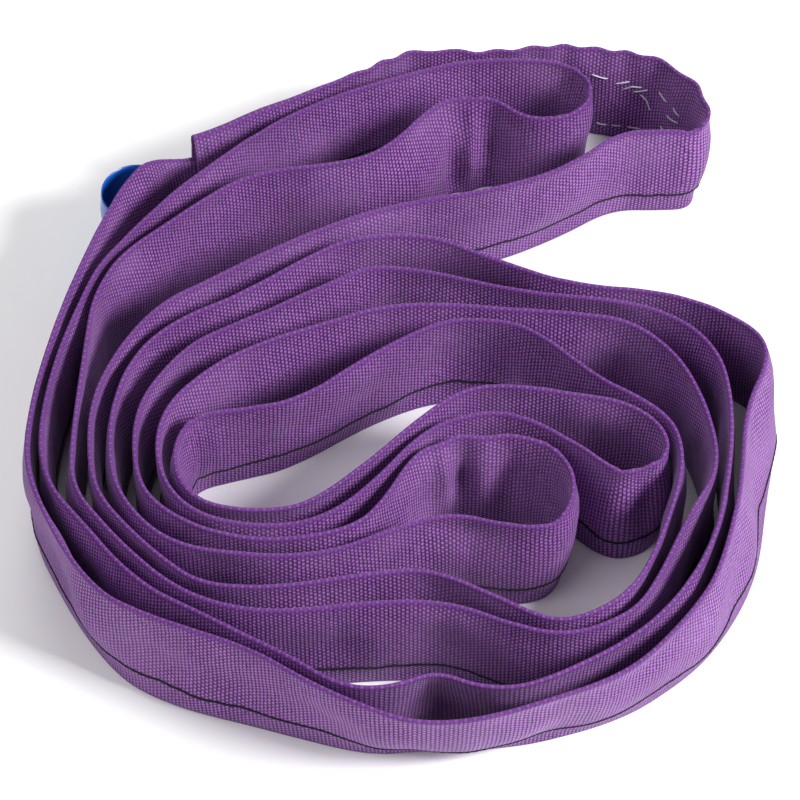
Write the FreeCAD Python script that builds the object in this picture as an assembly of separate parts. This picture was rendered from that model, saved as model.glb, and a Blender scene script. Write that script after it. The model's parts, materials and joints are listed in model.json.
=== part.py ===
"""Endless polyester round sling, coiled and standing on edge. Millimetres, +Z up.

The sleeve is one closed loop. Folded twice, it makes four legs that lie side by side and are
coiled one and three quarter turns. Bights B and A, one inside the other, are at the outer end of
the coil, and bights C and D at the inner end. The loop runs from the cuff along the outer leg to
bight D, back along the second leg to bight A, along the third leg to bight C, and back along the
inner leg to bight B and the cuff. The sleeve is made in spans that meet end to end.
"""

import FreeCAD, Part
import math
import os

os.makedirs("parts", exist_ok=True)

# Sleeve: a seamless woven tube, laid flat and standing on its edge.
SLEEVE_WIDTH = 48.0
SLEEVE_THICKNESS = 4.0
SLEEVE_WALL = 0.9
# Load core: an endless hank of yarn, free to move inside the sleeve.
CORE_SIDE_CLEARANCE = 0.3
CORE_EDGE_CLEARANCE = 1.0
# Tape that holds the yarn's two ends together on the core, along one bend of the route.
TAPE_WALL = 0.2
TAPE_CLEARANCE = 0.05
# Cuff: the sleeve's outer end, drawn over its tucked inner end.
TUCKED_WALL = 0.7
TUCKED_LENGTH = 52.0
TUCKED_CORE_CLEARANCE = 0.1
CUFF_CLEARANCE = 0.1
# Tracer: the dark yarn woven into one face, its height measured from the lower edge.
TRACER_HEIGHT = 11.2
TRACER_WIDTH = 1.0
TRACER_PROUD = 0.2
# Rows of thread stitches.
STITCH_LENGTH = 3.0
STITCH_PITCH = 4.5
STITCH_THICKNESS = 0.6
STITCH_PROUD = 0.4
STITCH_CLEARANCE = 0.15
CUFF_ROW_INSETS = (6.0, 12.0)
STITCH_ROW_MARGIN = 3.0
SEAM_THREAD_HEIGHTS = {"lower": 10.0, "upper": 35.0}
SEAM_THREAD_THICKNESS = 0.6
SEAM_THREAD_BENDS = 3
# Identification label: a curled tab sewn by one edge to the outer face beside the cuff.
LABEL_HEIGHT = 42.0
LABEL_LIFT = 2.0
LABEL_THICKNESS = 0.9
LABEL_HEM_LENGTH = 9.0
LABEL_HINGE_GAP = 1.8
LABEL_LENGTH = 36.0
LABEL_CURL_RADIUS = 14.0
LABEL_LEAD_ANGLE = 55.0

# The coil's route at mid height, span by span, from the cuff's mouth round to the cuff. Each span
# ends half way to the next one's first point.
ROUTE = [
    ("sleeve_outer_leg_shoulder", [(-91, 114), (-102, 104), (-109, 90), (-119, 62)]),
    ("sleeve_outer_leg_left", [(-133, 19), (-139, -18), (-138, -47), (-126, -75)]),
    ("sleeve_outer_leg_lower_left", [(-106, -105), (-87, -118), (-50, -134)]),
    ("sleeve_outer_leg_bottom", [(-14, -153), (8, -155), (43, -149), (77, -137)]),
    ("sleeve_outer_leg_lower_right", [(99, -119), (117, -95), (127, -62)]),
    ("sleeve_outer_leg_right", [(134, -23), (141, -2), (138, 13), (125, 24)]),
    ("sleeve_outer_leg_inner_top_right", [(102, 34), (63, 39), (34, 53), (11, 64)]),
    ("sleeve_outer_leg_inner_top", [(-16, 63), (-31, 55), (-57, 35), (-86, 20)]),
    ("sleeve_outer_leg_inner_left", [(-99, 2), (-106, -21), (-106, -51), (-98, -69)]),
    ("sleeve_outer_leg_inner_bottom", [(-83, -85), (-64, -90), (-31, -93), (-7, -84), (18, -73)]),
    ("sleeve_bight_d", [(39, -79), (54, -78), (61, -68), (62, -54), (55, -42), (40, -38), (18, -38)]),
    ("sleeve_second_leg_inner_bottom", [(7, -47), (-4, -69), (-17, -79), (-41, -83)]),
    ("sleeve_second_leg_inner_left", [(-67, -82), (-85, -72), (-95, -59), (-98, -35)]),
    ("sleeve_second_leg_inner_top_left", [(-94, -15), (-79, 9), (-58, 20), (-28, 38)]),
    ("sleeve_second_leg_inner_top", [(-11, 47), (14, 44), (49, 33), (85, 30)]),
    ("sleeve_second_leg_right", [(104, 22), (118, 7), (123, -11), (122, -45)]),
    ("sleeve_second_leg_lower_right", [(115, -79), (100, -108), (83, -125)]),
    ("sleeve_second_leg_bottom", [(53, -140), (33, -143), (12, -134), (-5, -143)]),
    ("sleeve_second_leg_lower_left", [(-22, -143), (-39, -133), (-73, -115), (-93, -104)]),
    ("sleeve_second_leg_left", [(-116, -77), (-129, -56), (-133, -28), (-129, 7)]),
    ("sleeve_second_leg_shoulder", [(-118, 48), (-103, 71), (-74, 104), (-44, 130), (-11, 148), (27, 161)]),
    ("sleeve_bight_a", [(52, 161), (69, 158), (76, 148), (74, 137), (65, 129), (51, 129)]),
    ("sleeve_third_leg_top", [(36, 141), (22, 140), (9, 129), (-8, 109)]),
    ("sleeve_third_leg_shoulder", [(-30, 102), (-59, 97), (-79, 81)]),
    ("sleeve_third_leg_left", [(-105, 56), (-116, 37), (-118, 7), (-121, -34)]),
    ("sleeve_third_leg_lower_left", [(-120, -59), (-108, -76), (-88, -99), (-68, -112)]),
    ("sleeve_third_leg_bottom", [(-43, -117), (-6, -112), (19, -113), (45, -125)]),
    ("sleeve_third_leg_lower_right", [(62, -126), (82, -117), (91, -102), (105, -73)]),
    ("sleeve_third_leg_right", [(116, -53), (115, -27), (106, 0), (91, 17)]),
    ("sleeve_third_leg_inner_top", [(75, 22), (44, 25), (7, 29), (-19, 22)]),
    ("sleeve_third_leg_inner_left", [(-58, 6), (-77, -9), (-88, -27), (-89, -47)]),
    ("sleeve_third_leg_inner_bottom", [(-82, -64), (-69, -74), (-48, -77), (-27, -74)]),
    ("sleeve_third_leg_inner_end", [(-11, -60), (8, -35), (27, -26), (43, -26)]),
    ("sleeve_bight_c", [(61, -38), (77, -52), (89, -52), (97, -45), (96, -35), (88, -24), (70, -18)]),
    ("sleeve_inner_leg_inner_end", [(42, -12), (25, -14), (9, -27), (-15, -53)]),
    ("sleeve_inner_leg_inner_left", [(-34, -69), (-53, -71), (-71, -67), (-80, -56)]),
    ("sleeve_inner_leg_hole_top", [(-81, -41), (-75, -30), (-59, -26), (-36, -20)]),
    ("sleeve_inner_leg_inner_top", [(-9, 3), (14, 18), (35, 20), (51, 15)]),
    ("sleeve_inner_leg_right", [(70, -6), (94, -22), (103, -34), (103, -53)]),
    ("sleeve_inner_leg_lower_right", [(94, -82), (83, -106), (68, -117), (53, -120)]),
    ("sleeve_inner_leg_bottom", [(35, -110), (11, -98), (-8, -100), (-43, -106)]),
    ("sleeve_inner_leg_lower_left", [(-70, -104), (-84, -94), (-105, -71), (-113, -53)]),
    ("sleeve_inner_leg_left", [(-115, -22), (-108, 2), (-92, 28), (-70, 42)]),
    ("sleeve_inner_leg_top", [(-32, 67), (-3, 80), (40, 89), (68, 103)]),
    ("sleeve_bight_b", [(88, 120), (107, 120), (120, 122), (124, 134), (121, 148), (111, 161), (90, 166)]),
    ("sleeve_outer_leg_top", [(66, 171), (36, 166), (7, 171), (-11, 161)]),
    ("sleeve_cuff", [(-46, 142), (-76, 123)]),
]
# How far a cutting shape runs past the faces that it opens.
CUT_OVERRUN = 1.0
# Moves the route so that the origin is under the middle of the whole sling.
CENTRE_SHIFT = (-0.77, -7.79)

ARC_SHARE = 0.45
"""Each bend takes this share of the shorter run beside its point."""


def vec(point, z=0.0):
    return FreeCAD.Vector(point[0], point[1], z)


def left_of(direction):
    return FreeCAD.Vector(-direction.y, direction.x, 0)


class Bend:
    """The tangent arc that rounds one point of the route."""

    def __init__(self, before, point, after):
        self.enter = (point - before).normalize()
        self.leave = (after - point).normalize()
        self.turn = self.enter.getAngle(self.leave)
        self.side = 1.0 if self.enter.cross(self.leave).z > 0 else -1.0
        cut = ARC_SHARE * min((point - before).Length, (after - point).Length)
        self.radius = cut / math.tan(self.turn / 2)
        self.start = point - self.enter * cut
        self.end = point + self.leave * cut
        self.centre = self.start + left_of(self.enter) * (self.side * self.radius)
        self.crown = self.centre + (point - self.centre).normalize() * self.radius

    def edge(self, offset):
        """The arc moved to the left by offset."""
        grow = 1.0 - self.side * offset / self.radius
        places = [self.centre + (p - self.centre) * grow for p in (self.start, self.crown, self.end)]
        return Part.Arc(*places).toShape()

    def length_to(self, after):
        """The route's length along this arc and on to the next one."""
        return self.radius * self.turn + (after.start - self.end).Length


def all_bends():
    points = [vec(p) + vec(CENTRE_SHIFT) for _, span in ROUTE for p in span]
    count = len(points)
    return points, [Bend(points[i - 1], points[i], points[(i + 1) % count]) for i in range(count)]


POINTS, BENDS = all_bends()


def span_ends():
    """First and last bend of each span, by name."""
    ends, first = {}, 0
    for name, span in ROUTE:
        ends[name] = (first, first + len(span) - 1)
        first += len(span)
    return ends


SPANS = span_ends()


def middle(i):
    """Half way from point i - 1 to point i, where one span meets the next."""
    return (POINTS[i - 1] + POINTS[i % len(POINTS)]) * 0.5


def line(a, b):
    return Part.LineSegment(a, b).toShape()


def side_edges(first, last, offset, overrun=0.0):
    """A span's path moved to the left by offset, as lines and arcs, with its two end points."""
    bends = BENDS[first : last + 1]
    start = middle(first) + left_of(bends[0].enter) * offset - bends[0].enter * overrun
    finish = middle(last + 1) + left_of(bends[-1].leave) * offset + bends[-1].leave * overrun
    edges, here = [], start
    for bend in bends:
        edges.append(line(here, bend.start + left_of(bend.enter) * offset))
        edges.append(bend.edge(offset))
        here = bend.end + left_of(bend.leave) * offset
    edges.append(line(here, finish))
    return edges, start, finish


def band(first, last, right, left, low, high, overrun=0.0):
    """A standing band between two offsets of a span's path, from z low to high."""
    near, near_start, near_end = side_edges(first, last, right, overrun)
    far, far_start, far_end = side_edges(first, last, left, overrun)
    edges = near + [line(near_end, far_end)] + far[::-1] + [line(far_start, near_start)]
    face = Part.Face(Part.Wire(Part.__sortEdges__(edges)))
    solid = face.extrude(vec((0, 0), high - low))
    solid.translate(vec((0, 0), low))
    return solid


def tube(first, last, half, low, high, wall):
    """A flattened open-ended tube along a span."""
    inside = band(first, last, wall - half, half - wall, low + wall, high - wall, CUT_OVERRUN)
    return band(first, last, -half, half, low, high).cut(inside)


def endless_band(right, left, low, high):
    """A standing band along the whole closed route."""
    wires = []
    for offset in (right, left):
        edges = []
        for i, bend in enumerate(BENDS):
            after = BENDS[(i + 1) % len(BENDS)]
            edges.append(bend.edge(offset))
            gap_start = bend.end + left_of(bend.leave) * offset
            edges.append(line(gap_start, after.start + left_of(after.enter) * offset))
        wires.append(Part.Wire(Part.__sortEdges__(edges)))
    solid = Part.makeFace(wires, "Part::FaceMakerBullseye").extrude(vec((0, 0), high - low))
    solid.translate(vec((0, 0), low))
    return solid


def place_on(first, last, distance):
    """The point and direction at a distance along a span's runs, measured from its start."""
    stops = [middle(first)] + POINTS[first : last + 1] + [middle(last + 1)]
    for a, b in zip(stops, stops[1:]):
        run = (b - a).Length
        if distance <= run:
            return a + (b - a) * (distance / run), (b - a).normalize()
        distance -= run
    return stops[-1], BENDS[last].leave


def block(at, along, offset, length, depth, low, high):
    """A small block whose near face is offset to the left of a point, growing outward by depth."""
    outward = left_of(along) * math.copysign(1.0, offset)
    corner = at - along * (length / 2) + left_of(along) * offset
    run, across = along * length, outward * depth
    ring = [corner, corner + run, corner + run + across, corner + across, corner]
    face = Part.Face(Part.makePolygon(ring))
    solid = face.extrude(vec((0, 0), high - low))
    solid.translate(vec((0, 0), low))
    return solid


def save(shape, name):
    if not shape.isValid():
        raise ValueError(name + " is not a valid shape")
    shape.exportStep("parts/" + name + ".step")


HALF = SLEEVE_THICKNESS / 2
CORE_HALF = HALF - SLEEVE_WALL - CORE_SIDE_CLEARANCE
CORE_LOW = SLEEVE_WALL + CORE_EDGE_CLEARANCE
CORE_HIGH = SLEEVE_WIDTH - CORE_LOW
TUCKED_HALF = CORE_HALF + TUCKED_CORE_CLEARANCE + TUCKED_WALL
CUFF_HALF = TUCKED_HALF + CUFF_CLEARANCE + SLEEVE_WALL
TUCKED_LOW = SLEEVE_WALL + CUFF_CLEARANCE


def make_sleeve():
    for name, (first, last) in SPANS.items():
        half = CUFF_HALF if name == "sleeve_cuff" else HALF
        save(tube(first, last, half, 0.0, SLEEVE_WIDTH, SLEEVE_WALL), name)


def cuff_piece(start, finish, right, left, low, high):
    """A straight-sided stretch of band inside the cuff, between two distances from its mouth."""
    first, last = SPANS["sleeve_cuff"]
    whole = band(first, last, right, left, low, high)
    mouth, along = middle(last + 1), BENDS[last].leave
    reach = 4 * SLEEVE_WIDTH
    keep = Part.makeBox(finish - start, reach, reach)
    keep.translate(vec((-finish, -reach / 2), -reach / 2))
    keep.rotate(vec((0, 0)), vec((0, 0), 1), math.degrees(math.atan2(along.y, along.x)))
    keep.translate(mouth)
    return whole.common(keep)


def make_tucked_end():
    outer = cuff_piece(0.0, TUCKED_LENGTH, -TUCKED_HALF, TUCKED_HALF, TUCKED_LOW, SLEEVE_WIDTH - TUCKED_LOW)
    inner_half = TUCKED_HALF - TUCKED_WALL
    inner_low = TUCKED_LOW + TUCKED_WALL
    start, finish = -CUT_OVERRUN, TUCKED_LENGTH + CUT_OVERRUN
    inner = cuff_piece(start, finish, -inner_half, inner_half, inner_low, SLEEVE_WIDTH - inner_low)
    save(outer.cut(inner), "sleeve_tucked_end")


def make_core():
    save(endless_band(-CORE_HALF, CORE_HALF, CORE_LOW, CORE_HIGH), "load_core")
    first, _ = SPANS["sleeve_second_leg_inner_top"]
    near = CORE_HALF + TAPE_CLEARANCE
    far = near + TAPE_WALL
    right_side = band(first + 1, first + 1, -far, -near, CORE_LOW, CORE_HIGH)
    left_side = band(first + 1, first + 1, near, far, CORE_LOW, CORE_HIGH)
    save(Part.makeCompound([right_side, left_side]), "core_splice_tape")


def make_tracer():
    low = TRACER_HEIGHT - TRACER_WIDTH / 2
    cuff_first, cuff_last = SPANS["sleeve_cuff"]
    along_sleeve = band(0, cuff_first - 1, -HALF - TRACER_PROUD, -HALF, low, low + TRACER_WIDTH)
    on_cuff = band(cuff_first, cuff_last, -CUFF_HALF - TRACER_PROUD, -CUFF_HALF, low, low + TRACER_WIDTH)
    save(Part.makeCompound([along_sleeve, on_cuff]), "tracer_yarn")


def stitch_row(at, along, face, low, room):
    """A row of stitches up a face that is offset to the left of a point."""
    near = face + math.copysign(STITCH_CLEARANCE, face)
    stitches = []
    for number in range(int(room / STITCH_PITCH)):
        foot = low + number * STITCH_PITCH
        stitches.append(block(at, along, near, STITCH_THICKNESS, STITCH_PROUD, foot, foot + STITCH_LENGTH))
    return stitches


def make_cuff_stitches():
    first, last = SPANS["sleeve_cuff"]
    stops = [middle(first)] + POINTS[first : last + 1] + [middle(last + 1)]
    length = sum((b - a).Length for a, b in zip(stops, stops[1:]))
    room = SLEEVE_WIDTH - 2 * STITCH_ROW_MARGIN
    for number, inset in enumerate(CUFF_ROW_INSETS, start=1):
        at, along = place_on(first, last, length - inset)
        sides = [stitch_row(at, along, side * CUFF_HALF, STITCH_ROW_MARGIN, room) for side in (-1, 1)]
        save(Part.makeCompound(sides[0] + sides[1]), f"cuff_stitch_row_{number}")


def make_seam_threads():
    _, last = SPANS["sleeve_bight_b"]
    for name, low in SEAM_THREAD_HEIGHTS.items():
        near = HALF + SEAM_THREAD_THICKNESS
        thread = band(last - SEAM_THREAD_BENDS + 1, last, HALF, near, low, low + SEAM_THREAD_THICKNESS)
        save(thread, "seam_thread_" + name)


def make_label():
    hem_at = (BENDS[0].end + BENDS[1].start) * 0.5
    along = BENDS[0].leave
    outward = left_of(along) * -1.0
    low, high = LABEL_LIFT, LABEL_LIFT + LABEL_HEIGHT
    lead_turn = math.radians(LABEL_LEAD_ANGLE)
    hem_face = HALF + TRACER_PROUD
    save(block(hem_at, along, -hem_face, LABEL_HEM_LENGTH, LABEL_THICKNESS, low, high), "label_hem")
    room = LABEL_HEIGHT - 2 * STITCH_ROW_MARGIN
    stitches = stitch_row(hem_at, along, -hem_face - LABEL_THICKNESS, low + STITCH_ROW_MARGIN, room)
    save(Part.makeCompound(stitches), "label_stitches")

    hinge = hem_at + along * (LABEL_HEM_LENGTH / 2) + outward * (hem_face + LABEL_THICKNESS / 2)
    lead = along * math.cos(lead_turn) + outward * math.sin(lead_turn)
    start = hinge + lead * LABEL_HINGE_GAP
    centre = start + left_of(lead) * LABEL_CURL_RADIUS
    turn = LABEL_LENGTH / LABEL_CURL_RADIUS

    def curl_arc(radius):
        places = []
        for share in (0.0, 0.5, 1.0):
            arm = (start - centre).normalize() * radius
            places.append(centre + FreeCAD.Rotation(vec((0, 0), 1), math.degrees(share * turn)).multVec(arm))
        return Part.Arc(*places).toShape(), places

    inner_arc, inner = curl_arc(LABEL_CURL_RADIUS - LABEL_THICKNESS / 2)
    outer_arc, outer = curl_arc(LABEL_CURL_RADIUS + LABEL_THICKNESS / 2)
    edges = [outer_arc, line(outer[2], inner[2]), inner_arc, line(inner[0], outer[0])]
    flap = Part.Face(Part.Wire(Part.__sortEdges__(edges))).extrude(vec((0, 0), LABEL_HEIGHT))
    flap.translate(vec((0, 0), low))
    save(flap, "label_flap")
    print("label hinge", round(hinge.x, 2), round(hinge.y, 2))


lengths = [bend.length_to(after) for bend, after in zip(BENDS, BENDS[1:] + BENDS[:1])]
print("route points", len(POINTS), "length", round(sum(lengths), 1))
for name, (first, last) in SPANS.items():
    print("radii", name, [round(bend.radius, 1) for bend in BENDS[first : last + 1]])
make_sleeve()
make_tucked_end()
make_core()
make_tracer()
make_cuff_stitches()
make_seam_threads()
make_label()
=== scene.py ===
import json
import math

import bpy
import numpy as np
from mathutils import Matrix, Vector, kdtree


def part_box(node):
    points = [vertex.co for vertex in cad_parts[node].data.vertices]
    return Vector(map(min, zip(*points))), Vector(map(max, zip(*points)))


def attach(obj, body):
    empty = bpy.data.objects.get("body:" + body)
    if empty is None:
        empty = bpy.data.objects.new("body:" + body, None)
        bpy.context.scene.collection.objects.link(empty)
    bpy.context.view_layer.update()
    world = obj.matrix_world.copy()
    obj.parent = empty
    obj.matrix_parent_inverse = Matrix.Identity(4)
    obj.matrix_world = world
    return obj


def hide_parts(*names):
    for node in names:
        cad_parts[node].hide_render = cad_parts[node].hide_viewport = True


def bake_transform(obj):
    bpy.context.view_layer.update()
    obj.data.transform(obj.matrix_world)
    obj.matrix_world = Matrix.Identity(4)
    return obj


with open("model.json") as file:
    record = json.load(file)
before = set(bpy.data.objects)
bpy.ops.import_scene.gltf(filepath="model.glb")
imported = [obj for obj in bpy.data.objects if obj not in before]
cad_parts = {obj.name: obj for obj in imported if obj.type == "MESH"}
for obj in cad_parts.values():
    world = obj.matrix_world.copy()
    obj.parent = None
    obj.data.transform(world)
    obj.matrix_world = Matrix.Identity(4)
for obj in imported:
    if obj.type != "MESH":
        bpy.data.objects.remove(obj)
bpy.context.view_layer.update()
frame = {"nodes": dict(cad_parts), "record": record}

# An endless violet round sling. Its woven tubular sleeve is folded twice and coiled, and stands on
# its edge. Metres.
nodes = sorted(frame["nodes"])

# Sleeve, as it lies flat.
WIDTH = 0.048
FOLD_RADIUS = 0.00085
NECK_HALF = 0.00105
MIDDLE_HALF = 0.0022
NECK_AT = 0.0036
FULL_AT = 0.015
WALL = 0.0009
# Weave: the pitch of the yarns along the sleeve and across it.
ALONG_PITCH = 0.0015
ACROSS_PITCH = 0.0009
# Cuff, and the tucked end that comes out of its mouth.
CUFF_LENGTH = 0.042
CUFF_SWELL = 0.0009
LIP_DEPTH = 0.013
MOUTH_DROP = 0.012
MOUTH_LIFT = 0.002
MOUTH_REACH = 0.026
# Tracer and stitches.
TRACER_HEIGHT = 0.012
TRACER_WIDTH = 0.00115
CUFF_ROWS = (0.005, 0.011)
STITCH_LENGTH = 0.003
STITCH_PITCH = 0.0045
STITCH_MARGIN = 0.004
THREAD_SIDES = 6
THREAD_RADIUS = 0.00028
SEAM_RADIUS = 0.0003
STITCH_ARCH = 0.00032
TRACER_STATIONS = 6200
TRACER_PROUD = 0.0003
TRACER_SWELL = 0.00014
# Stations along the sleeve, and how much closer they are in the bights.
STATIONS = 2680
BEND_DENSITY = 1.4
# Coarse places used to push the legs apart: their step, their rows, how far apart the legs' middles are
# pushed, the stretch of one leg that isn't compared with itself, the rounds, and the most room on a side.
COARSE_STEP = 0.003
COARSE_ROWS = 9
LEGS_APART = 0.0046
OWN_STRETCH = 0.035
PUSH_ROUNDS = 9
MOST_ROOM = 0.006
SKIN_GAP = 0.00012
LEAST_HALF = 0.0004
# How deep the cloth's slack, creases, pleats and bows are, and how far apart the repeating ones.
BODY_SLACK = 0.00025
SLACKS = ((0.0009, 0.030, 2, 21), (0.0005, 0.013, 3, 31), (0.0002, 0.006, 5, 35))
CREASE_PITCH = 0.0075
CREASE_DEPTH = 0.0015
PLEAT_DEPTH = 0.0009
BOW_DEPTH = 0.0021
SCALLOP_PITCH = 0.0150
SCALLOP_DEPTH = 0.0006

# Camera.
CAMERA_ELEVATION = 50
CAMERA_DISTANCE = 1.2
CAMERA_AIM = (-0.00077, -0.00779, 0.024)
SENSOR = 36
LENS = 141.75

# Moves the route so that the coil's box is centred on the origin.
CENTRE_SHIFT = (-0.00077, -0.00779, 0)

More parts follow.
